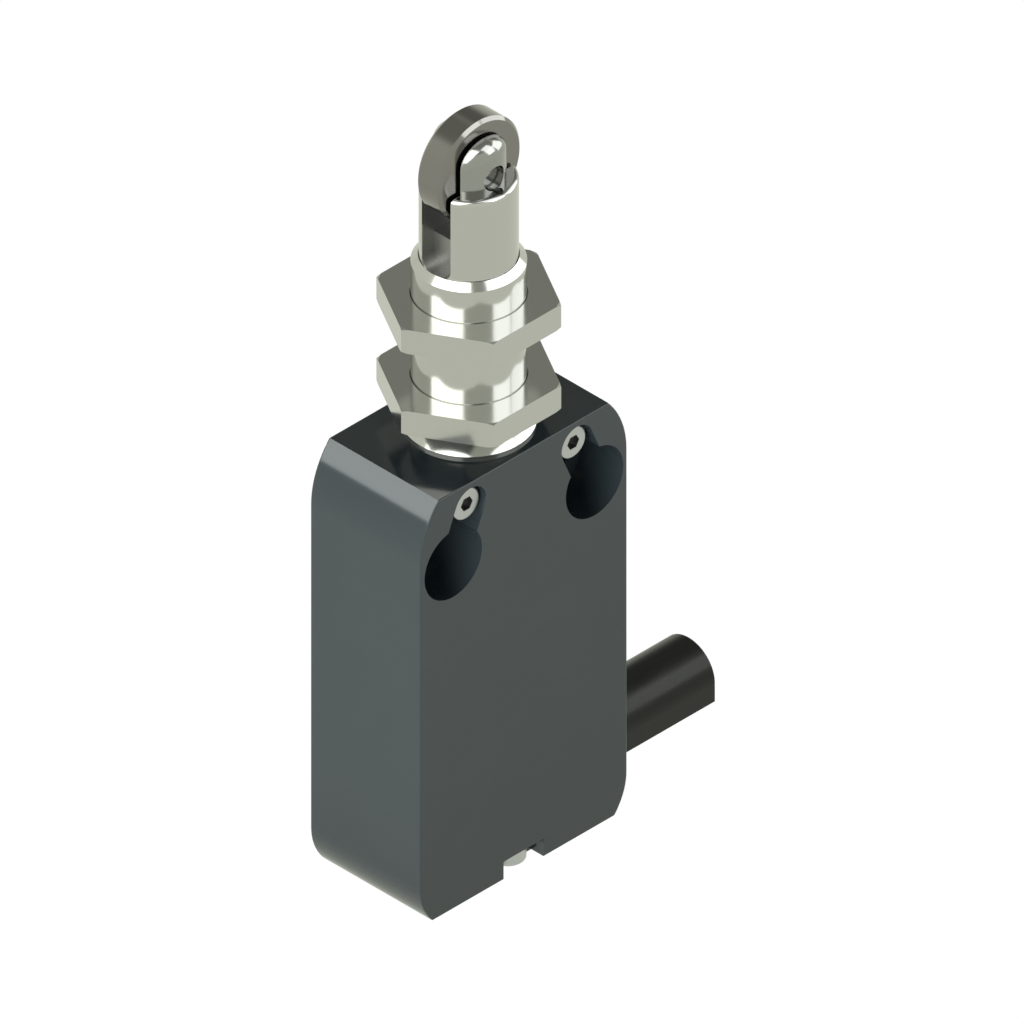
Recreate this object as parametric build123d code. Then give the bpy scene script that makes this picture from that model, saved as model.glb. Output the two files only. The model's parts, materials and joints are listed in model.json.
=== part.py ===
from build123d import *
import os
from math import acos, atan2, degrees, sqrt

# Roller plunger limit switch, in millimetres.
# The origin is the middle of the body's bottom face. +X runs along the 30 mm width, towards the cable.
# +Y runs towards the back, and +Z runs up the plunger to the roller.

# Body: housing above, end cap below
body_width = 30.0
body_depth = 16.0
body_height = 52.3
cap_height = 12.3
wall = 1.5
top_corner_r = 10.5
top_corner_inset = 2.7
bottom_corner_r = 7.0
bottom_corner_inset = 1.82
body_edge_r = 0.2

# Fixing holes, with their counterbores open to the front
fixing_side_inset = 4.75
fixing_drop = 8.9
fixing_r = 2.15
counterbore_r = 4.17
counterbore_depth = 6.0

# Cap-head screws: two across the housing that hold the barrel, two up through the end cap
screw_shank_r = 1.0
screw_head_r = 1.95
screw_head_h = 2.0
screw_socket_r = 0.87
screw_socket_depth = 1.0
screw_edge = 0.3
screw_tip_chamfer = 0.25
head_pocket_clearance = 0.3
screw_hole_clearance = 0.05
head_screw_drop = 2.93
head_screw_recess = 0.575
head_screw_skin = 1.625
cap_screw_inset = 2.37
cap_screw_recess = 0.3
cap_screw_bite = 5.2
notch_width = 5.9
notch_depth = 1.9
cap_boss_wall = 1.0
cap_boss_floor = 1.2
insert_wall = 0.5
insert_length = 3.0
housing_boss_r = 2.3
housing_boss_h = 7.0

# Barrel, with its heights above the top of the body and its drops below it
collar_r = 7.0
collar_edge_h = 0.3
collar_cone_h = 1.0
barrel_r = 6.0
barrel_length = 21.0
barrel_chamfer = 0.75
barrel_floor_rise = 4.2
barrel_floor_t = 2.5
spigot_length = 4.4
spigot_clearance = 0.05
screw_groove_depth = 0.295
groove_side_clearance = 0.07
clip_room_r = 4.6
barrel_seal_section = 0.8
barrel_seal_drop = 0.85

# Hexagon nuts, with their corners on the X axis
nut_across_flats = 17.0
nut_thickness = 3.0
nut_bore_clearance = 0.03
nut_chamfer_r = 9.5
nut_chamfer_drop = 0.15
nut_bore_chamfer = 0.1
lower_nut_rise = 3.15
upper_nut_drop = 7.65

# Plunger, roller and pin, with their heights above the top of the barrel
plunger_r = 5.16
running_clearance = 0.05
plunger_top_travel = 11.8
shoulder_rise = 9.9
shoulder_fillet = 0.55
ear_r = 3.9
ear_top_r = 4.15
ear_fillet = 1.6
fork_width = 4.15
fork_floor_rise = 3.3
side_groove_x = 3.0
side_groove_drop = 0.3
side_groove_corner_r = 1.2
roller_rise = 11.3
roller_r = 6.0
roller_width = 3.45
roller_edge = 0.35
roller_bore_clearance = 0.03
pin_r = 1.45
pin_recess = 1.1
pin_edge = 0.2
stem_r = 3.0
stem_end_drop = 2.3
plunger_seal_section = 0.9
plunger_seal_drop = 2.8
clip_thickness = 0.6
clip_groove_r = 2.4
clip_outer_r = 4.2
clip_mouth = 3.4
travel = 5.0

# Contact block, hung under the ledge in the housing
ledge_drop = 13.9
block_height = 18.5
block_side_gap = 0.1
block_wall = 1.0
block_floor_t = 0.9
lid_t = 1.0
neck_r = 3.4
pit_r = 1.95
pit_wall = 0.85
pit_depth = 4.4

# Slider and its two spring-loaded bridges
slider_gap = 0.1
slider_stem_r = 2.2
slider_half = 2.4
slider_foot = 1.15
window_half = 1.45
bridge_side_room = 3.6
bridge_corner_r = 0.96
bridge_half_width = 1.2
bridge_t = 0.5
nc_bridge_drop = 3.25
nc_window_drop = 2.8
no_window_rise = 4.1
no_gap = 2.8
rivet_end_inset = 1.0
rivet_r = 1.0
rivet_h = 0.6
fixed_rivet_h = 0.5
contact_gap = 0.05

# Contact strips
strip_t = 0.6
strip_width = 3.0
strip_bend_r = 0.7
arm_overhang = 1.7
no_leg_gap = 1.2
strip_tail = 3.2

# Springs: mean radius, wire radius and number of turns
return_spring_r = 3.95
return_spring_wire = 0.35
return_spring_turns = 6
slider_spring_r = 1.5
slider_spring_wire = 0.25
slider_spring_turns = 7
bridge_spring_r = 0.9
bridge_spring_wire = 0.15
nc_spring_turns = 4
no_spring_turns = 5

# Cable stub, its four cores, clamp and seal
cable_r = 3.8
cable_z = 5.27
cable_bottom_z = 2.93
cable_stub = 16.9
cable_inner_depth = 5.8
core_r = 0.75
conductor_r = 0.42
core_offset_y = 1.15
core_lower_z = 4.85
core_upper_z = 7.0
core_bend_r = 1.6
core_rise_share = 0.6
core_turn_room = 0.2
core_overlap = 3.0
solder_length = 2.2
clamp_t = 0.9
clamp_inset = 0.2
clamp_length = 1.6
grommet_t = 0.8
grommet_length = 1.6
gasket_section = 0.6

# How far a cutting shape runs past what it cuts
cut_margin = 1.0

# Body and screws: half sizes, places and lengths that follow from the sizes above
half_w = body_width / 2
half_d = body_depth / 2
half_fixing = half_w - fixing_side_inset
fixing_z = body_height - fixing_drop
pocket_r = screw_head_r + head_pocket_clearance
screw_hole_r = screw_shank_r + screw_hole_clearance
insert_r = screw_shank_r + insert_wall
head_screw_z = body_height - head_screw_drop
head_seat_depth = head_screw_recess + screw_head_h
head_screw_length = body_depth - head_seat_depth - head_screw_skin
cap_seat_z = cap_screw_recess + screw_head_h
cap_screw_y = half_d - cap_screw_inset
cap_screw_length = cap_height - cap_seat_z + cap_screw_bite

# Barrel and nuts
collar_edge_z = body_height + collar_edge_h
collar_top = collar_edge_z + collar_cone_h
barrel_top = body_height + barrel_length
barrel_floor_z = body_height + barrel_floor_rise
barrel_seal_z = body_height - barrel_seal_drop
spigot_r = collar_r - spigot_clearance
spigot_bottom_z = body_height - spigot_length
screw_groove_r = spigot_r - screw_groove_depth
half_head_screws = screw_groove_r + groove_side_clearance + screw_shank_r
lower_nut_z = body_height + lower_nut_rise
upper_nut_z = barrel_top - upper_nut_drop

# Plunger and roller
plunger_bore_r = plunger_r + running_clearance
stem_bore_r = stem_r + running_clearance
plunger_shoulder_z = barrel_floor_z + plunger_top_travel
plunger_seal_z = barrel_top - plunger_seal_drop
clip_z = barrel_floor_z - barrel_floor_t - clip_thickness
stem_end_z = body_height - stem_end_drop
shoulder_z = barrel_top + shoulder_rise
fork_floor_z = barrel_top + fork_floor_rise
side_groove_bottom_z = barrel_top - side_groove_drop
roller_z = barrel_top + roller_rise

# Contact block and slider
ledge_z = body_height - ledge_drop
block_floor_z = ledge_z - block_height
block_half_x = half_w - wall - block_side_gap
block_half_y = half_d - wall - block_side_gap
block_inner_floor = block_floor_z + block_floor_t
block_roof = ledge_z - block_wall
slider_top_z = stem_end_z - slider_gap
slider_bottom_z = block_inner_floor + travel + slider_gap
pit_floor_z = block_floor_z - pit_depth

# Bridges and contact strips
nc_leg_x = block_half_x - block_wall
bridge_half_length = nc_leg_x - strip_t - bridge_side_room
no_leg_x = bridge_half_length + no_leg_gap
rivet_x = bridge_half_length - rivet_end_inset
arm_end_x = rivet_x - arm_overhang
nc_bridge_z = ledge_z - nc_bridge_drop
nc_window_z = nc_bridge_z - nc_window_drop
nc_face_z = nc_bridge_z + bridge_t + rivet_h + contact_gap
nc_arm_z = nc_face_z + fixed_rivet_h
no_bridge_z = slider_bottom_z + slider_foot
no_window_z = no_bridge_z + no_window_rise
no_face_z = no_bridge_z - rivet_h - no_gap - contact_gap
no_arm_z = no_face_z - fixed_rivet_h - strip_t
strip_tail_z = block_floor_z - strip_tail
leg_reach_z = strip_tail_z + core_overlap
solder_bottom_z = leg_reach_z - solder_length

# Cable
cable_end_x = half_w + cable_stub
cable_inner_x = half_w - cable_inner_depth
clamp_x = cable_inner_x + clamp_inset


def block(x0, x1, y0, y1, z0, z1):
    """Box between two corners."""
    return Pos((x0 + x1) / 2, (y0 + y1) / 2, (z0 + z1) / 2) * Box(x1 - x0, y1 - y0, z1 - z0)


def post(x, y, r, z0, z1):
    """Upright cylinder from z0 to z1."""
    return Pos(x, y, (z0 + z1) / 2) * Cylinder(r, z1 - z0)


def bar_y(x, z, r, y0, y1):
    """Cylinder along Y from y0 to y1."""
    return Pos(x, (y0 + y1) / 2, z) * Rot(90, 0, 0) * Cylinder(r, y1 - y0)


def turned(points):
    """Solid of revolution about Z from (radius, height) points."""
    outline = Polyline(*[(r, z) for r, z in points], close=True)
    return revolve(Plane.XZ * make_face(outline), Axis.Z)


def spring(mean_r, wire_r, turns, z0, z1):
    """Compression spring whose first and last turns touch z0 and z1."""
    height = z1 - z0 - 2 * wire_r
    path = Pos(0, 0, z0 + wire_r) * Helix(height / turns, height, mean_r)
    section = Plane(path @ 0, z_dir=path % 0) * RegularPolygon(wire_r, 8, major_radius=True)
    return sweep(section, path, is_frenet=True)


# Body outline, shared by the housing and the end cap

def body_face():
    """Front outline: straight sides, with top and bottom corners as arcs that meet the ends at an edge."""
    top_c = half_w - top_corner_r
    top_rise = sqrt(top_corner_r**2 - (top_corner_r - top_corner_inset)**2)
    top_turn = degrees(acos((top_corner_r - top_corner_inset) / top_corner_r))
    bottom_c = half_w - bottom_corner_r
    bottom_rise = sqrt(bottom_corner_r**2 - (bottom_corner_r - bottom_corner_inset)**2)
    bottom_turn = degrees(acos((bottom_corner_r - bottom_corner_inset) / bottom_corner_r))
    right = [
        Line((0, 0), (half_w - bottom_corner_inset, 0)),
        CenterArc((bottom_c, bottom_rise), bottom_corner_r, -bottom_turn, bottom_turn),
        Line((half_w, bottom_rise), (half_w, body_height - top_rise)),
        CenterArc((top_c, body_height - top_rise), top_corner_r, 0, top_turn),
        Line((half_w - top_corner_inset, body_height), (0, body_height)),
    ]
    left = [mirror(edge, about=Plane.YZ) for edge in right]
    return make_face(right + left)


def body_block():
    body = extrude(Plane.XZ * body_face(), amount=half_d, both=True)
    outlines = body.edges().filter_by(lambda e: abs(abs(e.center().Y) - half_d) < 0.01)
    return fillet(outlines, body_edge_r)


# Housing

def fixing_recess(side):
    """Through hole, counterbore, screw pocket and the slot that joins pocket and counterbore."""
    x_fix = side * half_fixing
    x_screw = side * half_head_screws
    front = -half_d - cut_margin
    hole = bar_y(x_fix, fixing_z, fixing_r, front, half_d + cut_margin)
    counterbore = bar_y(x_fix, fixing_z, counterbore_r, front, -half_d + counterbore_depth)
    pocket = bar_y(x_screw, head_screw_z, pocket_r, front, -half_d + head_seat_depth)
    dx = x_fix - x_screw
    dz = fixing_z - head_screw_z
    slot_face = Rot(0, 0, degrees(atan2(dz, dx))) * Rectangle(sqrt(dx**2 + dz**2), 2 * pocket_r)
    slot_face = Pos((x_fix + x_screw) / 2, (fixing_z + head_screw_z) / 2) * slot_face
    slot = Pos(0, -half_d, 0) * extrude(Plane.XZ * slot_face, amount=-head_seat_depth)
    return hole + counterbore + pocket + slot


def make_housing():
    shell = split(body_block(), bisect_by=Plane.XY.offset(cap_height), keep=Keep.TOP)
    shell -= block(-half_w + wall, half_w - wall, -half_d + wall, half_d - wall, cap_height, ledge_z)
    for y_sign in (-1, 1):
        boss = post(0, y_sign * cap_screw_y, housing_boss_r, cap_height, cap_height + housing_boss_h)
        web = block(-housing_boss_r, housing_boss_r, *sorted((y_sign * cap_screw_y, y_sign * half_d)),
                    cap_height, cap_height + housing_boss_h)
        shell += (boss + web) & body_block()
        shell -= post(0, y_sign * cap_screw_y, insert_r, cap_height, cap_height + insert_length)
        shell -= post(0, y_sign * cap_screw_y, screw_hole_r, cap_height, cap_height + housing_boss_h - wall)
    shell -= post(0, 0, neck_r, ledge_z, body_height)
    shell -= post(0, 0, collar_r, spigot_bottom_z - slider_gap, body_height)
    for side in (-1, 1):
        shell -= fixing_recess(side)
        x = side * half_head_screws
        tip = -half_d + head_seat_depth + head_screw_length
        shell -= bar_y(x, head_screw_z, screw_hole_r, -half_d, tip)
        shell -= bar_y(x, head_screw_z, insert_r, tip - insert_length, tip)
    return shell


# End cap

def cable_face(grow=0.0):
    """Section of the cable: a round top and straight sides down to a flat bottom."""
    r = cable_r + grow
    low = cable_bottom_z - cable_z - grow
    lines = [
        Line((-r, 0), (-r, low)),
        Line((-r, low), (r, low)),
        Line((r, low), (r, 0)),
        CenterArc((0, 0), r, 0, 180),
    ]
    return Plane.YZ * Pos(0, cable_z) * make_face(lines)


def cable_prism(x0, x1, grow=0.0):
    return Pos(x0, 0, 0) * extrude(cable_face(grow), amount=x1 - x0)


def body_chamber():
    """Room inside the body's outline, one wall in from it."""
    inner_face = offset(body_face(), amount=-wall, kind=Kind.INTERSECTION)
    return extrude(Plane.XZ * inner_face, amount=half_d - wall, both=True)


def make_end_cap():
    cap = split(body_block(), bisect_by=Plane.XY.offset(cap_height), keep=Keep.BOTTOM)
    cap -= body_chamber()
    boss_r = pocket_r + cap_boss_wall
    boss_top = cap_seat_z + cap_boss_floor
    for y_sign in (-1, 1):
        y = y_sign * cap_screw_y
        boss = post(0, y, boss_r, 0, boss_top)
        boss += block(-boss_r, boss_r, *sorted((y, y_sign * half_d)), 0, boss_top)
        column = post(0, y, housing_boss_r, 0, cap_height)
        column += block(-housing_boss_r, housing_boss_r, *sorted((y, y_sign * half_d)), 0, cap_height)
        cap += (boss + column) & body_block()
    pad = block(cable_inner_x, half_w - wall, -cable_r, cable_r, wall / 2, cable_bottom_z)
    cap += pad & body_block()
    for y_sign in (-1, 1):
        y = y_sign * cap_screw_y
        notch_y = sorted((y_sign * (half_d - notch_depth), y_sign * (half_d + cut_margin)))
        cap -= block(-notch_width / 2, notch_width / 2, *notch_y, -cut_margin, cap_seat_z)
        cap -= post(0, y, pocket_r, -cut_margin, cap_seat_z)
        cap -= post(0, y, screw_hole_r, 0, cap_height + cut_margin)
    cap -= cable_prism(cable_inner_x, half_w + cut_margin)
    return cap - gasket_ring()


def gasket_ring():
    """Square-section ring in the middle of the rim."""
    margin = (wall - gasket_section) / 2
    outer = Rectangle(body_width - 2 * margin, body_depth - 2 * margin)
    inner = offset(outer, amount=-gasket_section, kind=Kind.INTERSECTION)
    return Pos(0, 0, cap_height - gasket_section) * extrude(outer - inner, amount=gasket_section)


# Screws and inserts

def cap_head_screw(length):
    """Screw along +Z with its bearing face at z = 0 and its head below."""
    head = post(0, 0, screw_head_r, -screw_head_h, 0)
    head = fillet(head.edges().group_by(Axis.Z)[0], screw_edge)
    socket = extrude(RegularPolygon(screw_socket_r, 6), amount=screw_socket_depth)
    head -= Pos(0, 0, -screw_head_h) * socket
    shank = post(0, 0, screw_shank_r, 0, length)
    shank = chamfer(shank.edges().group_by(Axis.Z)[-1], screw_tip_chamfer)
    return head + shank


def make_head_screws():
    screw = Rot(-90, 0, 0) * cap_head_screw(head_screw_length)
    seat_y = -half_d + head_seat_depth
    return Compound([Pos(side * half_head_screws, seat_y, head_screw_z) * screw for side in (-1, 1)])


def make_cap_screws():
    screw = cap_head_screw(cap_screw_length)
    return Compound([Pos(0, side * cap_screw_y, cap_seat_z) * screw for side in (-1, 1)])


def make_head_inserts():
    tip = -half_d + head_seat_depth + head_screw_length
    return Compound([
        bar_y(side * half_head_screws, head_screw_z, insert_r, tip - insert_length, tip)
        - bar_y(side * half_head_screws, head_screw_z, screw_shank_r, tip - insert_length, tip)
        for side in (-1, 1)
    ])


def make_cap_inserts():
    top = cap_height + insert_length
    return Compound([
        post(0, side * cap_screw_y, insert_r, cap_height, top)
        - post(0, side * cap_screw_y, screw_shank_r, cap_height, top)
        for side in (-1, 1)
    ])


# Barrel and nuts

def make_threaded_barrel():
    groove_half = screw_shank_r + groove_side_clearance
    seal_r = spigot_r - barrel_seal_section
    seal_half = barrel_seal_section / 2 + groove_side_clearance
    floor_low = barrel_floor_z - barrel_floor_t
    return turned([
        (clip_room_r, spigot_bottom_z),
        (spigot_r, spigot_bottom_z),
        (spigot_r, head_screw_z - groove_half),
        (screw_groove_r, head_screw_z - groove_half),
        (screw_groove_r, head_screw_z + groove_half),
        (spigot_r, head_screw_z + groove_half),
        (spigot_r, barrel_seal_z - seal_half),
        (seal_r, barrel_seal_z - seal_half),
        (seal_r, barrel_seal_z + seal_half),
        (spigot_r, barrel_seal_z + seal_half),
        (spigot_r, body_height),
        (collar_r, body_height),
        (collar_r, collar_edge_z),
        (barrel_r, collar_top),
        (barrel_r, barrel_top - barrel_chamfer),
        (barrel_r - barrel_chamfer, barrel_top),
        (plunger_bore_r, barrel_top),
        (plunger_bore_r, barrel_floor_z),
        (stem_bore_r, barrel_floor_z),
        (stem_bore_r, floor_low),
        (clip_room_r, floor_low),
    ])


def ring(mean_r, section, z):
    """O-ring about the Z axis."""
    return Pos(0, 0, z) * Torus(mean_r, section / 2)


def make_barrel_seal():
    return ring(spigot_r - barrel_seal_section / 2, barrel_seal_section, barrel_seal_z)


def make_nut(z):
    corner_r = nut_across_flats / 2 / sqrt(0.75)
    blank = extrude(RegularPolygon(corner_r, 6), amount=nut_thickness)
    limit = turned([
        (0, 0),
        (nut_chamfer_r, 0),
        (corner_r, nut_chamfer_drop),
        (corner_r, nut_thickness - nut_chamfer_drop),
        (nut_chamfer_r, nut_thickness),
        (0, nut_thickness),
    ])
    bore_r = barrel_r + nut_bore_clearance
    bore = turned([
        (0, 0),
        (bore_r + nut_bore_chamfer, 0),
        (bore_r, nut_bore_chamfer),
        (bore_r, nut_thickness - nut_bore_chamfer),
        (bore_r + nut_bore_chamfer, nut_thickness),
        (0, nut_thickness),
    ])
    return Pos(0, 0, z) * ((blank & limit) - bore)


# Plunger, roller and pin

def side_groove():
    """Groove down one side of the plunger, on its +X side, with rounded lower corners."""
    run = fork_floor_z - side_groove_bottom_z
    face = Rectangle(fork_width, run + cut_margin, align=(Align.CENTER, Align.MIN))
    face = fillet(face.vertices().group_by(Axis.Y)[0], side_groove_corner_r)
    face = Plane.YZ * Pos(0, side_groove_bottom_z) * face
    return Pos(side_groove_x, 0, 0) * extrude(face, amount=plunger_r)


def make_plunger():
    seal_half = plunger_seal_section / 2 + running_clearance
    seal_floor_r = plunger_r - plunger_seal_section
    clip_top = clip_z + clip_thickness
    top = roller_z + ear_top_r
    body = turned([
        (0, stem_end_z),
        (stem_r, stem_end_z),
        (stem_r, clip_z),
        (clip_groove_r, clip_z),
        (clip_groove_r, clip_top),
        (stem_r, clip_top),
        (stem_r, plunger_shoulder_z),
        (plunger_r, plunger_shoulder_z),
        (plunger_r, plunger_seal_z - seal_half),
        (seal_floor_r, plunger_seal_z - seal_half),
        (seal_floor_r, plunger_seal_z + seal_half),
        (plunger_r, plunger_seal_z + seal_half),
        (plunger_r, shoulder_z),
        (ear_r, shoulder_z),
        (ear_r, top),
        (0, top),
    ])
    rim = body.edges().filter_by(GeomType.CIRCLE).filter_by(
        lambda e: abs(e.radius - plunger_r) < 0.01 and abs(e.center().Z - shoulder_z) < 0.01)
    body = fillet(rim, shoulder_fillet)
    keep = block(-plunger_r, plunger_r, -plunger_r, plunger_r, stem_end_z, roller_z)
    keep += bar_y(0, roller_z, ear_top_r, -plunger_r, plunger_r)
    body = body & keep
    body -= block(-plunger_r, plunger_r, -fork_width / 2, fork_width / 2, fork_floor_z, top)
    body -= side_groove()
    body -= mirror(side_groove(), about=Plane.YZ)
    crest = body.edges().filter_by(
        lambda e: e.center().Z > roller_z and abs(e.center().Y) > fork_width / 2 + 0.1)
    body = fillet(crest, ear_fillet)
    return body - bar_y(0, roller_z, pin_r, -plunger_r, plunger_r)


def make_roller():
    bore_r = pin_r + roller_bore_clearance
    disc = bar_y(0, roller_z, roller_r, -roller_width / 2, roller_width / 2)
    disc = fillet(disc.edges().filter_by(GeomType.CIRCLE), roller_edge)
    return disc - bar_y(0, roller_z, bore_r, -roller_width, roller_width)


def make_roller_pin():
    reach = ear_r - pin_recess
    pin = bar_y(0, roller_z, pin_r, -reach, reach)
    return chamfer(pin.edges().filter_by(GeomType.CIRCLE), pin_edge)


def make_plunger_seal():
    return ring(plunger_r - plunger_seal_section / 2, plunger_seal_section, plunger_seal_z)


def make_retaining_clip():
    clip = post(0, 0, clip_outer_r, clip_z, clip_z + clip_thickness)
    clip -= post(0, 0, clip_groove_r, clip_z, clip_z + clip_thickness)
    mouth = block(0, clip_outer_r + cut_margin, -clip_mouth / 2, clip_mouth / 2,
                  clip_z, clip_z + clip_thickness)
    return clip - mouth


# Contact block

def leg_slot(x_outer, side):
    x = sorted((side * x_outer, side * (x_outer - strip_t)))
    return block(*x, -strip_width / 2, strip_width / 2, block_floor_z, block_inner_floor)


def make_contact_block():
    shell = block(-block_half_x, block_half_x, -block_half_y, block_half_y, block_floor_z, ledge_z)
    shell -= block(-block_half_x + block_wall, block_half_x - block_wall,
                   -block_half_y, block_half_y - block_wall, block_inner_floor, block_roof)
    shell += post(0, 0, pit_r + pit_wall, pit_floor_z - block_wall, block_floor_z)
    shell -= post(0, 0, pit_r, pit_floor_z, block_inner_floor)
    guide = slider_half + running_clearance
    shell -= block(-guide, guide, -guide, guide, block_roof, ledge_z)
    for side in (-1, 1):
        x = sorted((side * arm_end_x, side * (no_leg_x - strip_t - strip_bend_r)))
        shell += block(*x, -strip_width / 2, strip_width / 2, block_inner_floor, no_arm_z)
        shell -= leg_slot(nc_leg_x, side)
        shell -= leg_slot(no_leg_x, side)
    return shell


def make_block_cover():
    x = block_half_x - block_wall
    return block(-x, x, -block_half_y, -block_half_y + lid_t, block_inner_floor, block_roof)


def make_contact_slider():
    slider = block(-slider_half, slider_half, -slider_half, slider_half, slider_bottom_z, ledge_z)
    slider += post(0, 0, slider_stem_r, ledge_z, slider_top_z)
    slider -= block(-slider_half, slider_half, -window_half, window_half,
                    nc_window_z, nc_bridge_z + bridge_t)
    slider -= block(-slider_half, slider_half, -window_half, window_half, no_bridge_z, no_window_z)
    return slider


def bridge(z):
    plate = block(-bridge_half_length, bridge_half_length, -bridge_half_width, bridge_half_width,
                  z, z + bridge_t)
    return fillet(plate.edges().filter_by(Axis.Z), bridge_corner_r)


def rivets(z0, z1):
    """One contact rivet at each end of a bridge."""
    return [post(side * rivet_x, 0, rivet_r, z0, z1) for side in (-1, 1)]


def make_fixed_contacts():
    return Compound(rivets(nc_face_z, nc_arm_z) + rivets(no_arm_z + strip_t, no_face_z))


def make_nc_bridge_contacts():
    top = nc_bridge_z + bridge_t
    return Compound(rivets(top, top + rivet_h))


def make_no_bridge_contacts():
    return Compound(rivets(no_bridge_z - rivet_h, no_bridge_z))


def strip(arm_z, leg_x, side):
    """Bent strip: an arm in towards the slider, and a leg down through the block's floor."""
    half = strip_width / 2
    arm_x = sorted((side * arm_end_x, side * leg_x))
    leg = sorted((side * leg_x, side * (leg_x - strip_t)))
    bent = block(*arm_x, -half, half, arm_z, arm_z + strip_t)
    bent += block(*leg, -half, half, strip_tail_z, arm_z + strip_t)
    outer = bent.edges().filter_by(Axis.Y).filter_by(
        lambda e: abs(e.center().X - side * leg_x) < 0.01 and e.center().Z > arm_z)
    return fillet(outer, strip_bend_r)


# Cable

def core_path(y, z, leg_x, side):
    """Route of one core, from the cut end of the cable up along its contact strip."""
    x_up = side * (leg_x - strip_t - core_r)
    turn_x = cable_inner_x - core_bend_r - core_turn_room if side > 0 else x_up + 2 * core_r
    points = [
        (cable_end_x, y, z),
        (turn_x, y, z),
        (turn_x, y, z + core_rise_share * (strip_tail_z - z)),
        (x_up, 0, strip_tail_z),
        (x_up, 0, leg_reach_z),
    ]
    return FilletPolyline(*points, radius=core_bend_r)


def make_core(y, z, leg_x, side):
    """Insulation of one core, stripped off where the conductor is soldered."""
    path = core_path(y, z, leg_x, side)
    section = Plane(path @ 0, z_dir=path % 0) * (Circle(core_r) - Circle(conductor_r))
    return split(sweep(section, path), bisect_by=Plane.XY.offset(solder_bottom_z), keep=Keep.BOTTOM)


def make_conductor(y, z, leg_x, side):
    path = core_path(y, z, leg_x, side)
    section = Plane(path @ 0, z_dir=path % 0) * Circle(conductor_r)
    return sweep(section, path)


def make_solder_joint(leg_x, side):
    """Solder round the bare end of a core, against the inner face of its strip."""
    x_face = leg_x - strip_t
    x = sorted((side * x_face, side * (x_face - 2 * core_r)))
    solder = block(*x, -core_r, core_r, solder_bottom_z, leg_reach_z)
    return solder - post(side * (x_face - core_r), 0, conductor_r, solder_bottom_z, leg_reach_z)


core_routes = {
    "core_1": (core_offset_y, core_upper_z, nc_leg_x, 1),
    "core_2": (-core_offset_y, core_upper_z, no_leg_x, 1),
    "core_3": (-core_offset_y, core_lower_z, no_leg_x, -1),
    "core_4": (core_offset_y, core_lower_z, nc_leg_x, -1),
}


def make_cable_sheath():
    sheath = cable_prism(cable_inner_x, cable_end_x)
    for y, z, leg_x, side in core_routes.values():
        sheath -= Pos(cable_inner_x, y, z) * Rot(0, 90, 0) * Cylinder(
            core_r, cable_end_x - cable_inner_x, align=(Align.CENTER, Align.CENTER, Align.MIN))
    return sheath


def saddle(x0, x1, thickness):
    """Arch over the cable that stands on the pad beside it."""
    over = cable_prism(x0, x1, thickness) - cable_prism(x0, x1)
    return over & block(x0, x1, -half_d, half_d, cable_bottom_z, cap_height)


def make_cable_clamp():
    return saddle(clamp_x, clamp_x + clamp_length, clamp_t)


def make_cable_grommet():
    return saddle(half_w - wall - grommet_length, half_w - wall, grommet_t) & body_chamber()


def make_parts():
    parts = {
        "housing": make_housing(),
        "end_cap": make_end_cap(),
        "cap_gasket": gasket_ring(),
        "threaded_barrel": make_threaded_barrel(),
        "barrel_seal": make_barrel_seal(),
        "head_screws": make_head_screws(),
        "cap_screws": make_cap_screws(),
        "head_inserts": make_head_inserts(),
        "cap_inserts": make_cap_inserts(),
        "lower_nut": make_nut(lower_nut_z),
        "upper_nut": make_nut(upper_nut_z),
        "plunger": make_plunger(),
        "roller": make_roller(),
        "roller_pin": make_roller_pin(),
        "plunger_seal": make_plunger_seal(),
        "retaining_clip": make_retaining_clip(),
        "return_spring": spring(return_spring_r, return_spring_wire, return_spring_turns,
                                barrel_floor_z, plunger_shoulder_z),
        "contact_block": make_contact_block(),
        "block_cover": make_block_cover(),
        "contact_slider": make_contact_slider(),
        "slider_spring": spring(slider_spring_r, slider_spring_wire, slider_spring_turns,
                                pit_floor_z, slider_bottom_z),
        "nc_bridge": bridge(nc_bridge_z),
        "nc_bridge_contacts": make_nc_bridge_contacts(),
        "nc_bridge_spring": spring(bridge_spring_r, bridge_spring_wire, nc_spring_turns,
                                   nc_window_z, nc_bridge_z),
        "no_bridge": bridge(no_bridge_z),
        "no_bridge_contacts": make_no_bridge_contacts(),
        "no_bridge_spring": spring(bridge_spring_r, bridge_spring_wire, no_spring_turns,
                                   no_bridge_z + bridge_t, no_window_z),
        "nc_terminal_left": strip(nc_arm_z, nc_leg_x, -1),
        "nc_terminal_right": strip(nc_arm_z, nc_leg_x, 1),
        "no_terminal_left": strip(no_arm_z, no_leg_x, -1),
        "no_terminal_right": strip(no_arm_z, no_leg_x, 1),
        "fixed_contacts": make_fixed_contacts(),
        "cable_sheath": make_cable_sheath(),
        "cable_clamp": make_cable_clamp(),
        "cable_grommet": make_cable_grommet(),
    }
    for name, route in core_routes.items():
        parts[name] = make_core(*route)
    parts["conductors"] = Compound([make_conductor(*route) for route in core_routes.values()])
    parts["solder_joints"] = Compound([
        make_solder_joint(leg_x, side) for y, z, leg_x, side in core_routes.values()
    ])
    return parts


def main():
    os.makedirs("parts", exist_ok=True)
    for name, shape in make_parts().items():
        shape.label = name
        export_step(shape, f"parts/{name}.step")


main()
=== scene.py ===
# %% [markdown]
# A miniature limit switch. A flat plastic body carries a nickel-plated barrel with two hexagon nuts, and a
# steel plunger with a roller slides in the barrel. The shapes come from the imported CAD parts, which stay
# where they are. This lesson gives each of them its finish, and makes the pieces that Blender does better:
# the roller with its bevelled rim, and the springs of round wire.

import json
from math import cos, pi, radians, sin, tan, tau

import bmesh
import bpy
from mathutils import Matrix, Vector


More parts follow.
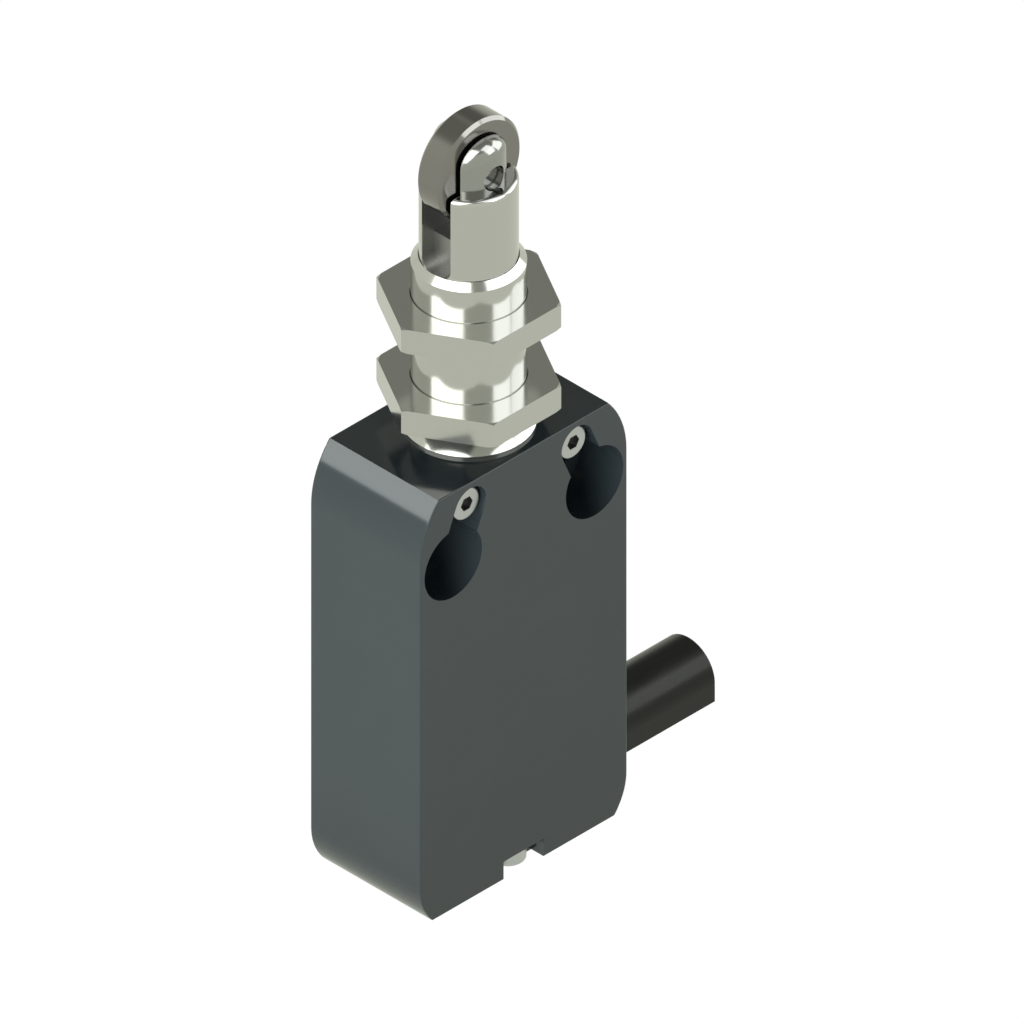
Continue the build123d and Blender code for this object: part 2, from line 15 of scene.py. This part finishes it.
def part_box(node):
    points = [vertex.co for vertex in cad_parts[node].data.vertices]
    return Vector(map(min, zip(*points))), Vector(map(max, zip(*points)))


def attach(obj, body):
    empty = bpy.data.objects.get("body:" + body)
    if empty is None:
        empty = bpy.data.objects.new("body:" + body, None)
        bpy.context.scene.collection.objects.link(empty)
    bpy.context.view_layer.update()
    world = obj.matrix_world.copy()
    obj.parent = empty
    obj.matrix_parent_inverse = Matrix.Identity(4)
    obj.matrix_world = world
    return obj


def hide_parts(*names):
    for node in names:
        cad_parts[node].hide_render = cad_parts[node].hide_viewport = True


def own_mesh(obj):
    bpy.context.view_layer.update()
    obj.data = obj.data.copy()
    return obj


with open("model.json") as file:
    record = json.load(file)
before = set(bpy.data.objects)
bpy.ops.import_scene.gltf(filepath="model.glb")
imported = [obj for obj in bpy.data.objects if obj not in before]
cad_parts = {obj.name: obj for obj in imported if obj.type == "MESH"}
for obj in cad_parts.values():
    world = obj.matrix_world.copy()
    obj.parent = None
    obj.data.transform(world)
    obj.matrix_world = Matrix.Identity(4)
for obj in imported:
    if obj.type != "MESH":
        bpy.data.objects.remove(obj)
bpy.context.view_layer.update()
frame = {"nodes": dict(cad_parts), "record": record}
MM = 0.001
print("CAD parts:", len(frame["nodes"]))

# %% [markdown]
# The photograph has no perspective: all edges along X, Y and Z run at the same three angles, as in a
# technical drawing. A lens camera far away would come close, but an orthographic camera gives it exactly.
# It looks down by 35.26 degrees from the front left. The middle of its frame is given as steps to the
# right and up from the origin.

# %% Camera
VIEW_TURN = radians(-45)
VIEW_TILT = radians(35.264)
FRAME_WIDTH = 105.04 * MM
CENTRE_RIGHT = 4.432 * MM
CENTRE_UP = 33.29 * MM
CAMERA_DISTANCE = 0.6

to_camera = Vector((cos(VIEW_TILT) * sin(VIEW_TURN), -cos(VIEW_TILT) * cos(VIEW_TURN), sin(VIEW_TILT)))
right = Vector((cos(VIEW_TURN), sin(VIEW_TURN), 0))
up = to_camera.cross(right)
camera_data = bpy.data.cameras.new("camera")
camera_data.type = "ORTHO"
camera_data.ortho_scale = FRAME_WIDTH
camera = bpy.data.objects.new("camera", camera_data)
bpy.context.scene.collection.objects.link(camera)
camera.location = right * CENTRE_RIGHT + up * CENTRE_UP + to_camera * CAMERA_DISTANCE
camera.rotation_euler = to_camera.to_track_quat("Z", "Y").to_euler()
bpy.context.scene.camera = camera
print("camera at", [round(c, 3) for c in camera.location])

# %% [markdown]
# Every finish below is a small graph of shader nodes. One function turns a colour written as sRGB hex, as a
# paint chart gives it, into the linear values that Blender calculates with. One adds a node, sets it and
# wires it, so that a step of a finish is one statement. The last two start a finish, and find its shader
# again when something is added to it.

# %% Helpers for colours and nodes
# A Mix node has sockets for each kind of value, and these are the numbers of its colour sockets
MIX_A, MIX_B, MIX_RESULT = 6, 7, 2


def linear(hex_colour):
    """Linear red, green, blue and alpha of an sRGB colour written as #rrggbb."""
    channels = [int(hex_colour[i:i + 2], 16) / 255 for i in (1, 3, 5)]
    return [c / 12.92 if c <= 0.04045 else ((c + 0.055) / 1.055) ** 2.4 for c in channels] + [1.0]


def add_node(tree, kind, inputs=None, **settings):
    """Adds a shader node. An input is given a value, or a socket to be linked to."""
    node = tree.nodes.new("ShaderNode" + kind)
    for name, value in settings.items():
        setattr(node, name, value)
    for name, value in (inputs or {}).items():
        if isinstance(value, bpy.types.NodeSocket):
            tree.links.new(value, node.inputs[name])
        else:
            node.inputs[name].default_value = value
    return node


def new_finish(name):
    """A material with a Principled shader, its node tree, and Object coordinates in metres."""
    material = bpy.data.materials.new(name)
    material.use_nodes = True
    tree = material.node_tree
    tree.nodes.clear()
    shader = add_node(tree, "BsdfPrincipled")
    add_node(tree, "OutputMaterial", {"Surface": shader.outputs["BSDF"]})
    place = add_node(tree, "TexCoord").outputs["Object"]
    return material, tree, shader, place


def shader_of(tree):
    """The Principled shader of a finish."""
    return next(node for node in tree.nodes if node.type == "BSDF_PRINCIPLED")


WHITE = linear("#ffffff")
print("white in linear values:", WHITE)

# %% [markdown]
# The switch stands on a round white table. A photographer would use a curved sheet of paper that runs up the
# wall. A flat disc is enough here, because the room behind it is the same white.

# %% Table
TABLE_R = 140 * MM
TABLE_SIDES = 96

table_mesh = bmesh.new()
bmesh.ops.create_circle(table_mesh, cap_ends=True, segments=TABLE_SIDES, radius=TABLE_R)
table_data = bpy.data.meshes.new("table")
table_mesh.to_mesh(table_data)
table_mesh.free()
table = bpy.data.objects.new("table", table_data)
bpy.context.scene.collection.objects.link(table)
print("table:", round(2 * TABLE_R, 3), "m across")

# %% [markdown]
# The table's top is matt white laminate. The lamps alone wouldn't make it exactly as white as the room
# behind, so a large share of plain white lies over it. Then its edge can't be seen, and only a faint shadow
# of the switch stays. That takes a little more than full white, because the share of laminate is darker.
# Shiny parts see the table at the level, and with the touch of yellow, that the room has.

# %% Matt white laminate
ROOM_LEVEL = 0.82
ROOM_TINT = linear("#fbffee")
PLAIN_SHARE = 0.93
SEEN_LEVEL = 1.07

laminate = bpy.data.materials.new("matt white laminate")
laminate.use_nodes = True
tree = laminate.node_tree
tree.nodes.clear()
seen = add_node(tree, "LightPath")
by_camera = seen.outputs["Is Camera Ray"]
or_mirrored = add_node(tree, "Math", {0: by_camera, 1: seen.outputs["Is Glossy Ray"]}, operation="MAXIMUM")
or_through_glass = add_node(tree, "Math", {0: or_mirrored.outputs[0], 1: seen.outputs["Is Transmission Ray"]},
                            operation="MAXIMUM")
share = add_node(tree, "Math", {0: or_through_glass.outputs[0], 1: PLAIN_SHARE}, operation="MULTIPLY")
level = add_node(tree, "MapRange", {"Value": by_camera, "To Min": ROOM_LEVEL, "To Max": SEEN_LEVEL})
tint = add_node(tree, "Mix", {0: by_camera, MIX_A: ROOM_TINT, MIX_B: WHITE}, data_type="RGBA")
matt = add_node(tree, "BsdfDiffuse", {"Color": linear("#f2f2f0")})
plain = add_node(tree, "Emission", {"Color": tint.outputs[MIX_RESULT], "Strength": level.outputs[0]})
blend = add_node(tree, "MixShader", {0: share.outputs[0], 1: matt.outputs[0], 2: plain.outputs[0]})
add_node(tree, "OutputMaterial", {"Surface": blend.outputs[0]})
table_data.materials.append(laminate)
print("table top:", laminate.name)

# %% [markdown]
# The room is a world that isn't even, because metal in an even room looks like flat paint. Its walls are
# pale, its ceiling is dim, and its end behind the switch is dark, which gives the tops of the nuts their
# sheen. It could be a picture of a real room, but a few smooth fades by direction are enough. Two numbers
# say where a direction points: its height, which is the sine of its angle above the horizon, and how
# squarely it meets the end of the room, which is a cosine.

# %% Directions and fades of the room
CEILING_LEVEL = 0.45
WALL_LIGHT = 0.78
CEILING_LIGHT = 0.14
END_TURN = radians(45)
END_STARTS = 0.56
END_IS_FULL = 0.8

world = bpy.data.worlds.new("pale room")
bpy.context.scene.world = world
world.use_nodes = True
tree = world.node_tree
tree.nodes.clear()
direction = add_node(tree, "TexCoord").outputs["Generated"]
height = add_node(tree, "SeparateXYZ", {0: direction}).outputs["Z"]
to_end = add_node(tree, "VectorMath", {0: direction, 1: (cos(END_TURN), sin(END_TURN), 0)},
                  operation="DOT_PRODUCT").outputs["Value"]

# Each row: what it goes by, where it starts and stops, and its levels there
fade_rows = {
    "ceiling": (height, sin(radians(40)), sin(radians(50)), 1.0, CEILING_LEVEL),
    "towards end": (to_end, END_STARTS, END_IS_FULL, 0.0, 1.0),
    "above table": (height, sin(radians(4)), sin(radians(24)), 0.0, 1.0),
    "light": (height, sin(radians(6)), sin(radians(26)), WALL_LIGHT, CEILING_LIGHT),
}
fades = {}
for name, (measure, start, stop, from_level, to_level) in fade_rows.items():
    span = {"Value": measure, "From Min": start, "From Max": stop, "To Min": from_level, "To Max": to_level}
    fades[name] = add_node(tree, "MapRange", span, interpolation_type="SMOOTHSTEP").outputs[0]
print("fades:", list(fades))

# %% [markdown]
# Each kind of ray then meets its own version of the room. Shiny parts mirror the uneven one. Matt surfaces
# are lit by a plain one, more from its walls than from its ceiling, at a level where a colour looks as it is
# written. The camera sees only white.

# %% Room
END_LEVEL = 0.34

dark_end = add_node(tree, "Math", {0: fades["towards end"], 1: fades["above table"]}, operation="MULTIPLY")
end_shade = add_node(tree, "MapRange", {"Value": dark_end.outputs[0], "To Min": 1.0, "To Max": END_LEVEL})
shade = add_node(tree, "Math", {0: fades["ceiling"], 1: end_shade.outputs[0]}, operation="MINIMUM")
strength = add_node(tree, "Math", {0: shade.outputs[0], 1: ROOM_LEVEL}, operation="MULTIPLY")
reflected = add_node(tree, "Background", {"Color": ROOM_TINT, "Strength": strength.outputs[0]})
light = add_node(tree, "Background", {"Color": linear("#fcfeff"), "Strength": fades["light"]})
backdrop = add_node(tree, "Background", {"Color": WHITE, "Strength": 1.0})
seen = add_node(tree, "LightPath")
sheen = add_node(tree, "Math", {0: seen.outputs["Is Glossy Ray"], 1: seen.outputs["Is Transmission Ray"]},
                 operation="MAXIMUM")
room = add_node(tree, "MixShader", {0: sheen.outputs[0], 1: light.outputs[0], 2: reflected.outputs[0]})
whole = add_node(tree, "MixShader", {0: seen.outputs["Is Camera Ray"], 1: room.outputs[0],
                                     2: backdrop.outputs[0]})
add_node(tree, "OutputWorld", {"Surface": whole.outputs[0]})
bpy.context.scene.view_settings.view_transform = "Standard"
print("world:", world.name)

# %% [markdown]
# Plating looks like plating because of the windows that it mirrors: each shows as a white patch on the
# barrel, on the rounded ears and along the rim of the roller, with the room between them. Three tall windows
# stand to the left, in front and to the right, and a small one behind on the left makes the pale strip along
# the rounded shoulder of the body. They could be bright patches of the world, but an area lamp has clean
# edges and a level of its own. All are placed by the direction that they shine from, and sized by the angle
# that they fill.

# %% Windows
WINDOW_DISTANCE = 2.0


def add_window(name, turn, tilt, width, height, brightness, colour):
    """Area lamp at an azimuth and elevation, in degrees, that fills an angle and has an even brightness."""
    data = bpy.data.lights.new(name, "AREA")
    data.shape = "RECTANGLE"
    data.size = 2 * WINDOW_DISTANCE * tan(radians(width / 2))
    data.size_y = 2 * WINDOW_DISTANCE * tan(radians(height / 2))
    data.energy = brightness * pi * data.size * data.size_y
    data.color = linear(colour)[:3]
    window = bpy.data.objects.new(name, data)
    bpy.context.scene.collection.objects.link(window)
    ahead = cos(radians(tilt))
    towards = Vector((ahead * cos(radians(turn)), ahead * sin(radians(turn)), sin(radians(tilt))))
    window.location = towards * WINDOW_DISTANCE
    window.rotation_euler = towards.to_track_quat("Z", "Y").to_euler()
    print(name, "is", round(data.size, 2), "by", round(data.size_y, 2), "m")
    return window


windows = [
    add_window("left window", turn=180, tilt=44, width=54, height=62, brightness=3.1, colour="#fcfff7"),
    add_window("front window", turn=295, tilt=44, width=33, height=62, brightness=2.2, colour="#fbfffd"),
    add_window("right window", turn=341, tilt=21, width=38, height=44, brightness=2.0, colour="#fafefe"),
    add_window("far window", turn=141, tilt=23.5, width=14, height=25, brightness=4.2, colour="#fbfffd"),
]

# %% [markdown]
# A window that is bright enough to show on metal would be too strong a light for the plastic, so no window
# lights a matt surface. The far one is mirrored by the housing alone. The light comes from one wide soft
# lamp low on the left, which is kept out of all reflections.

# %% What each window and the lamp may reach
for window in windows:
    window.visible_diffuse = False
lit_by_far_window = bpy.data.collections.new("lit by the far window")
lit_by_far_window.objects.link(frame["nodes"]["housing"])
far_window = windows[-1]
far_window.light_linking.receiver_collection = lit_by_far_window

soft_lamp = add_window("soft lamp", turn=198, tilt=6, width=40, height=24, brightness=9.8, colour="#fffbf2")
soft_lamp.visible_glossy = False

# %% [markdown]
# The body is glass-filled polyamide, a nearly black grey plastic that comes glossy and even out of a
# polished mould. Flow marks in its tone and a very small grain keep it from looking like glass. Its colour
# is darker than it looks: the plastic always adds a pale sheen of the room around it, and only inside the
# recesses, where there is no room to mirror, is it seen as it is. The plastics inside are duller, with the
# deeper grain of a spark-eroded mould. One function makes all of them.

# %% Moulded plastic
FLOW_WIDTH = 9 * MM
TONE_SPREAD = 0.1
GRAIN_WIDTH = 0.18 * MM
GRAIN_DEPTH = 0.003 * MM
PLASTIC_IOR = 1.53


def moulded(name, colour, roughness, spread=0.05, depth=GRAIN_DEPTH):
    """Moulded plastic: flow marks in its tone, and the grain of its mould."""
    material, tree, shader, place = new_finish(name)
    flow = add_node(tree, "TexNoise", {"Vector": place, "Scale": 1 / FLOW_WIDTH, "Detail": 3.0})
    base = linear(colour)
    darker = [c * (1 - TONE_SPREAD) for c in base[:3]] + [1.0]
    lighter = [c * (1 + TONE_SPREAD) for c in base[:3]] + [1.0]
    tone = add_node(tree, "Mix", {0: flow.outputs[0], MIX_A: darker, MIX_B: lighter}, data_type="RGBA")
    grain = add_node(tree, "TexNoise", {"Vector": place, "Scale": 1 / GRAIN_WIDTH, "Detail": 2.0})
    rough = add_node(tree, "MapRange", {"Value": grain.outputs[0], "To Min": roughness - spread,
                                        "To Max": roughness + spread})
    bump = add_node(tree, "Bump", {"Height": grain.outputs[0], "Distance": depth, "Strength": 0.6})
    tree.links.new(tone.outputs[MIX_RESULT], shader.inputs["Base Color"])
    tree.links.new(rough.outputs[0], shader.inputs["Roughness"])
    tree.links.new(bump.outputs[0], shader.inputs["Normal"])
    shader.inputs["IOR"].default_value = PLASTIC_IOR
    return material


finishes = {
    # From a polished mould: a dark grey that mirrors the room as a pale, even sheen
    "housing_polyamide": moulded("glossy glass-filled polyamide", "#353f45", 0.13, spread=0.02,
                                 depth=0.0004 * MM),
    # Undyed, with glass in it: cream, and half matt
    "block_polymer": moulded("natural glass-filled polyester", "#c9c4b4", 0.45),
    # Dyed right through, and waxy: an even red with a soft gloss
    "slider_polymer": moulded("red acetal", "#a32a22", 0.32),
    # Coloured with carbon black: an even black with a dull gloss
    "clamp_polymer": moulded("black polyamide", "#1c1d1d", 0.4),
}
print("moulded plastics:", list(finishes))

# %% [markdown]
# Metal shows only what is around it, so its finish is mostly its roughness and its tool marks. The barrel
# and the plunger carry fine turned rings, which a wave texture makes as bands across Z. On the roller it
# makes rings around the Y axis at the foot of the switch. They are so wide up there that they look like the
# long shallow arcs of a grinding wheel. Real marks are a few hundredths of a millimetre apart, which is too
# fine to show, so they are drawn a little coarser. A cloudy pattern varies the gloss.

# %% Turned and ground metal
MARK_PITCH = 0.12 * MM
MARK_DEPTH = 0.0008 * MM
CLOUD_WIDTH = 2.5 * MM
WAVE_LENGTH = tau / 20  # metres from one wave to the next at a scale of 1


def machined(name, colour, roughness, marks="BANDS", across="Z", pitch=MARK_PITCH, depth=MARK_DEPTH,
             spread=0.04):
    """Metal with tool marks, which are bands across an axis or rings around one, and a cloudy gloss."""
    material, tree, shader, place = new_finish(name)
    lines = add_node(tree, "TexWave", {"Vector": place, "Scale": WAVE_LENGTH / pitch, "Distortion": 0.4,
                                       "Detail": 1.0},
                     wave_type=marks, **{marks.lower() + "_direction": across})
    cloud = add_node(tree, "TexNoise", {"Vector": place, "Scale": 1 / CLOUD_WIDTH, "Detail": 4.0})
    rough = add_node(tree, "MapRange", {"Value": cloud.outputs[0], "To Min": roughness - spread,
                                        "To Max": roughness + spread})
    bump = add_node(tree, "Bump", {"Height": lines.outputs[0], "Distance": depth, "Strength": 0.5})
    tree.links.new(rough.outputs[0], shader.inputs["Roughness"])
    tree.links.new(bump.outputs[0], shader.inputs["Normal"])
    shader.inputs["Base Color"].default_value = linear(colour)
    shader.inputs["Metallic"].default_value = 1.0
    return material


TURNED_STEEL = "#c3c3c1"
ZINC = "#bec0c3"
finishes.update({
    # Thin bright plate on fine turning: sharp white highlights, and rings that hardly show
    "nickel_brass": machined("bright nickel plate on turned brass", "#c5c5c3", 0.14, spread=0.02,
                             depth=0.0001 * MM),
    # No plate, but turned as finely: nearly as bright, with faint rings
    "stainless_steel": machined("stainless steel, turned outside and milled inside", TURNED_STEEL, 0.14,
                                spread=0.02, depth=0.0002 * MM),
    # Ground after hardening: darker than the plunger, with crisp highlights
    "roller_steel": machined("ground hardened steel", "#8a8786", 0.13, marks="RINGS", across="Y", spread=0.02,
                             depth=0.0002 * MM),
    # Zinc plate is soft to the eye: bluish white, with wide highlights
    "screw_steel": machined("bright zinc plate", ZINC, 0.28),
    # Wire drawn through a die: grey, with a satin gloss
    "spring_steel": machined("drawn spring wire", "#8d8c88", 0.30),
    # Brass fresh from the lathe: warm yellow, with fine tool marks
    "insert_brass": machined("turned brass", "#c8a55a", 0.25),
    # Strip from the rolling mill: yellow, with faint lines across X
    "contact_brass": machined("rolled brass strip", "#cda95c", 0.28, across="X"),
    # Almost white, and brighter than the strip that it sits on
    "contact_silver": machined("silver contact alloy", "#d9d8d2", 0.22),
    # Many fine strands: red-brown, with coarser lines
    "conductor_copper": machined("stranded copper", "#c47a52", 0.24, pitch=0.2 * MM),
    # It sets with the smooth skin that it had as a liquid: bright, with soft rounded highlights
    "solder_tin": machined("bright soft solder", "#c9c9c4", 0.2, depth=0.0002 * MM),
})
print("finishes with the metals:", len(finishes))

# %% [markdown]
# The plunger is turned on its outside, but its fork and its two side grooves are milled, which leaves the
# walls of the slot duller. The fork, the grooves and the pin are also painted darker, which is painted shade.
# A second material would do it on a mesh made by hand, but a CAD part has one, so its finish changes by
# place: with the distance from the plunger's axis, and with the distance from the middle of the slot. The pin
# of the roller shares the finish, and its painted shade is as dark as the fork's.

# %% Milled fork of the plunger, with painted shade
# Darker than the turned steel: painted shade on the fork, the grooves and the pin
MILLED_STEEL_PAINTED_SHADE = "#a0a09f"
MILLED_R = 5.0 * MM
SLOT_HALF = 2.2 * MM
SLOT_DULLING = 0.3

tree = finishes["stainless_steel"].node_tree
shader = shader_of(tree)
place = add_node(tree, "TexCoord").outputs["Object"]
flat = add_node(tree, "Mapping", {"Vector": place, "Scale": (1, 1, 0)})
reach = add_node(tree, "VectorMath", {0: flat.outputs[0]}, operation="LENGTH")
turned = add_node(tree, "Math", {0: reach.outputs["Value"], 1: MILLED_R}, operation="GREATER_THAN")
# Painted shade: within MILLED_R of the axis the steel gets the darker colour
skin = add_node(tree, "Mix", {0: turned.outputs[0], MIX_A: linear(MILLED_STEEL_PAINTED_SHADE), MIX_B: linear(TURNED_STEEL)},
                data_type="RGBA")
tree.links.new(skin.outputs[MIX_RESULT], shader.inputs["Base Color"])
across = add_node(tree, "SeparateXYZ", {0: place}).outputs["Y"]
aside = add_node(tree, "Math", {0: across}, operation="ABSOLUTE")
near_slot = add_node(tree, "Math", {0: aside.outputs[0], 1: SLOT_HALF}, operation="LESS_THAN")
slot_wall = add_node(tree, "Math", {0: near_slot.outputs[0], 1: turned.outputs[0]}, operation="SUBTRACT",
                     use_clamp=True)
rough = shader.inputs["Roughness"].links[0].from_socket
dull = add_node(tree, "Math", {0: slot_wall.outputs[0], 1: SLOT_DULLING, 2: rough}, operation="MULTIPLY_ADD")
tree.links.new(dull.outputs[0], shader.inputs["Roughness"])
print("milled within", MILLED_R / MM, "mm of the axis")

# %% [markdown]
# Only the flat rim of a socket screw is bright. Its socket is deep, and is painted darker, which is painted
# shade. The socket lies behind the face of the head, and the screws of the end cap, which share the finish,
# are lower down. So a depth and a height tell the sockets from the rest.

# %% Painted shade in the sockets of the head screws
ZINC_WITH_PAINTED_SHADE = "#858586"
RIM_DEPTH = 0.1 * MM

head_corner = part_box("head_screws")[0]
socket_y = head_corner.y + RIM_DEPTH
tree = finishes["screw_steel"].node_tree
along = add_node(tree, "SeparateXYZ", {0: add_node(tree, "TexCoord").outputs["Object"]})
sunk = add_node(tree, "Math", {0: along.outputs["Y"], 1: socket_y}, operation="GREATER_THAN")
high = add_node(tree, "Math", {0: along.outputs["Z"], 1: head_corner.z}, operation="GREATER_THAN")
socket = add_node(tree, "Math", {0: sunk.outputs[0], 1: high.outputs[0]}, operation="MULTIPLY")
# Painted shade: the zinc is darker inside the sockets
plate = add_node(tree, "Mix", {0: socket.outputs[0], MIX_A: linear(ZINC), MIX_B: linear(ZINC_WITH_PAINTED_SHADE)},
                 data_type="RGBA")
tree.links.new(plate.outputs[MIX_RESULT], shader_of(tree).inputs["Base Color"])
print("sockets: darker behind y =", round(socket_y / MM, 2), "mm")

# %% [markdown]
# Rubber and cable PVC are softer: a lower gloss, and a skin that is never quite even. The sheath of the cable
# is drawn through a die, so its faint streaks run along X. A noise texture that is stretched along X makes
# them, and the same noise without the stretch makes the skin of the moulded rubber.

# %% Rubber and PVC
STREAK_WIDTH = 0.8 * MM
STREAK_DEPTH = 0.01 * MM
STREAK_SPREAD = 0.05


def extruded(name, colour, roughness, ior=1.5, stretch=6.0):
    """Soft plastic or rubber: an uneven gloss and skin, stretched along X where a die drew it."""
    material, tree, shader, place = new_finish(name)
    along = add_node(tree, "Mapping", {"Vector": place, "Scale": (1 / stretch, 1, 1)})
    streaks = add_node(tree, "TexNoise", {"Vector": along.outputs[0], "Scale": 1 / STREAK_WIDTH,
                                          "Detail": 3.0})
    rough = add_node(tree, "MapRange", {"Value": streaks.outputs[0], "To Min": roughness - STREAK_SPREAD,
                                        "To Max": roughness + STREAK_SPREAD})
    bump = add_node(tree, "Bump", {"Height": streaks.outputs[0], "Distance": STREAK_DEPTH, "Strength": 0.5})
    tree.links.new(rough.outputs[0], shader.inputs["Roughness"])
    tree.links.new(bump.outputs[0], shader.inputs["Normal"])
    shader.inputs["Base Color"].default_value = linear(colour)
    shader.inputs["IOR"].default_value = ior
    return material


finishes.update({
    # Rubber from a mould: nearly black and matt
    "seal_nitrile": extruded("moulded nitrile rubber", "#191919", 0.55, stretch=1.0),
    # Black sheath: a long soft highlight along the cable
    "cable_pvc": extruded("extruded black PVC", "#0b0b0b", 0.26, ior=1.38),
    # Insulation of the four cores: even colours with the same soft gloss
    "core_black": extruded("black core insulation", "#161616", 0.3),
    "core_brown": extruded("brown core insulation", "#5a3318", 0.3),
    "core_blue": extruded("blue core insulation", "#1f4f9c", 0.3),
    "core_grey": extruded("grey core insulation", "#8a8a88", 0.3),
})
print("finishes in all:", len(finishes))

# %% [markdown]
# Each CAD part has one slot for its material, and the record names it. So one loop puts every finish in its
# place, and no part can be forgotten.

# %% Finishes on the CAD parts
for row in frame["record"]["subparts"]:
    part = frame["nodes"][row["node"]]
    part.data.materials.clear()
    part.data.materials.append(finishes[row["material_slot"]])

# %% [markdown]
# The roller and the springs are made here, and take the place of their CAD parts. Both end in the same way:
# the faces are turned outwards and shaded smooth, all but the sharp edges, and the piece rides on the body of
# its part.

# %% From mesh to piece
SHARP_FROM = 30


def add_piece(name, bm, body, node, slot):
    """Makes an object of a mesh, in place of a CAD node, that rides on its body and takes its finish."""
    bmesh.ops.recalc_face_normals(bm, faces=bm.faces)
    data = bpy.data.meshes.new(name)
    bm.to_mesh(data)
    bm.free()
    data.shade_smooth()
    data.set_sharp_from_angle(angle=radians(SHARP_FROM))
    data.materials.append(finishes[slot])
    piece = bpy.data.objects.new(name, data)
    bpy.context.scene.collection.objects.link(piece)
    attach(piece, body)
    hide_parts(node)
    print(name, "has", len(data.polygons), "faces")
    return piece


print("edges stay sharp from", SHARP_FROM, "degrees")

# %% [markdown]
# The roller is ground, and the two corners of its rim are bevelled at 45 degrees. A bevel is a narrow cone,
# so it mirrors each window as a short white bar with straight ends near the top of the rim. The rounded
# corner of the CAD part would only show a thin line there. The profile of the ring is spun about the pin.

# %% Bevelled roller
ROLLER_BEVEL = 0.36 * MM
ROLLER_BORE_R = 1.48 * MM
ROLLER_STEPS = 160

low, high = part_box("roller")
rim_r = (high.x - low.x) / 2
half_width = (high.y - low.y) / 2
pin_height = (high.z + low.z) / 2
face_r = rim_r - ROLLER_BEVEL
tread_half = half_width - ROLLER_BEVEL
profile = [(ROLLER_BORE_R, half_width), (face_r, half_width), (rim_r, tread_half),
           (rim_r, -tread_half), (face_r, -half_width), (ROLLER_BORE_R, -half_width)]
bm = bmesh.new()
corners = [bm.verts.new((0, across, pin_height + radius)) for radius, across in profile]
sides = [bm.edges.new(pair) for pair in zip(corners, corners[1:] + corners[:1])]
bmesh.ops.spin(bm, geom=corners + sides, cent=(0, 0, pin_height), axis=(0, 1, 0), angle=tau,
               steps=ROLLER_STEPS, use_merge=True)
add_piece("roller_ring", bm, "roller", "roller", "roller_steel")

# %% [markdown]
# A compression spring is one round wire. Its end turns lie close, so that it stands flat, and the turns
# between them are spread. A circle of wire is spun about the spring's axis while it climbs. In the CAD part
# it climbs evenly and its wire has eight flats, so the round one takes its place.

# %% Winding a spring
WIRE_SIDES = 14
STEPS_PER_TURN = 40
CLOSED_CLIMB = 1.6  # of an end turn, in radii of the wire


def wind_spring(node, body, wire_r, turns, joint):
    """Round-wire spring in the box of its CAD part, which gets a mesh of its own when it has a joint."""
    low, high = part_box(node)
    mean_r = (high.x - low.x) / 2 - wire_r
    rise = high.z - low.z - 2 * wire_r
    closed = CLOSED_CLIMB * wire_r
    stages = [(1, closed), (turns - 2, rise - 2 * closed), (1, closed)]
    bm = bmesh.new()
    stand = Matrix.Rotation(pi / 2, 4, "X")
    stand.translation = Vector((mean_r, 0, low.z + wire_r))
    bmesh.ops.create_circle(bm, segments=WIRE_SIDES, radius=wire_r, matrix=stand)
    last = bm.edges[:]
    for count, climb in stages:
        steps = round(count * STEPS_PER_TURN)
        spun = bmesh.ops.spin(bm, geom=last, cent=(0, 0, 0), axis=(0, 0, 1), dvec=(0, 0, climb / steps),
                              angle=count * tau, steps=steps, use_merge=False)
        last = spun["geom_last"]
    bmesh.ops.holes_fill(bm, edges=[edge for edge in bm.edges if edge.is_boundary], sides=0)
    spring = add_piece(node + "_wire", bm, body, node, "spring_steel")
    if joint:
        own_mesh(spring)


print("wire:", WIRE_SIDES, "sides, and", STEPS_PER_TURN, "steps a turn")

# %% [markdown]
# Four springs work in the switch. One returns the plunger and one the slider, and each stands on the body.
# The other two press the contact bridges. The one in the slider rides with it and keeps its length, because
# its bridge moves with the slider.

# %% The four springs
wind_spring("return_spring", "body", wire_r=0.35 * MM, turns=6,
            joint="plunger_travel")
wind_spring("slider_spring", "body", wire_r=0.25 * MM, turns=7,
            joint="slider_travel")
wind_spring("no_bridge_spring", "no_bridge", wire_r=0.15 * MM, turns=5,
            joint="no_bridge_travel")
wind_spring("nc_bridge_spring", "slider", wire_r=0.15 * MM, turns=4,
            joint=None)
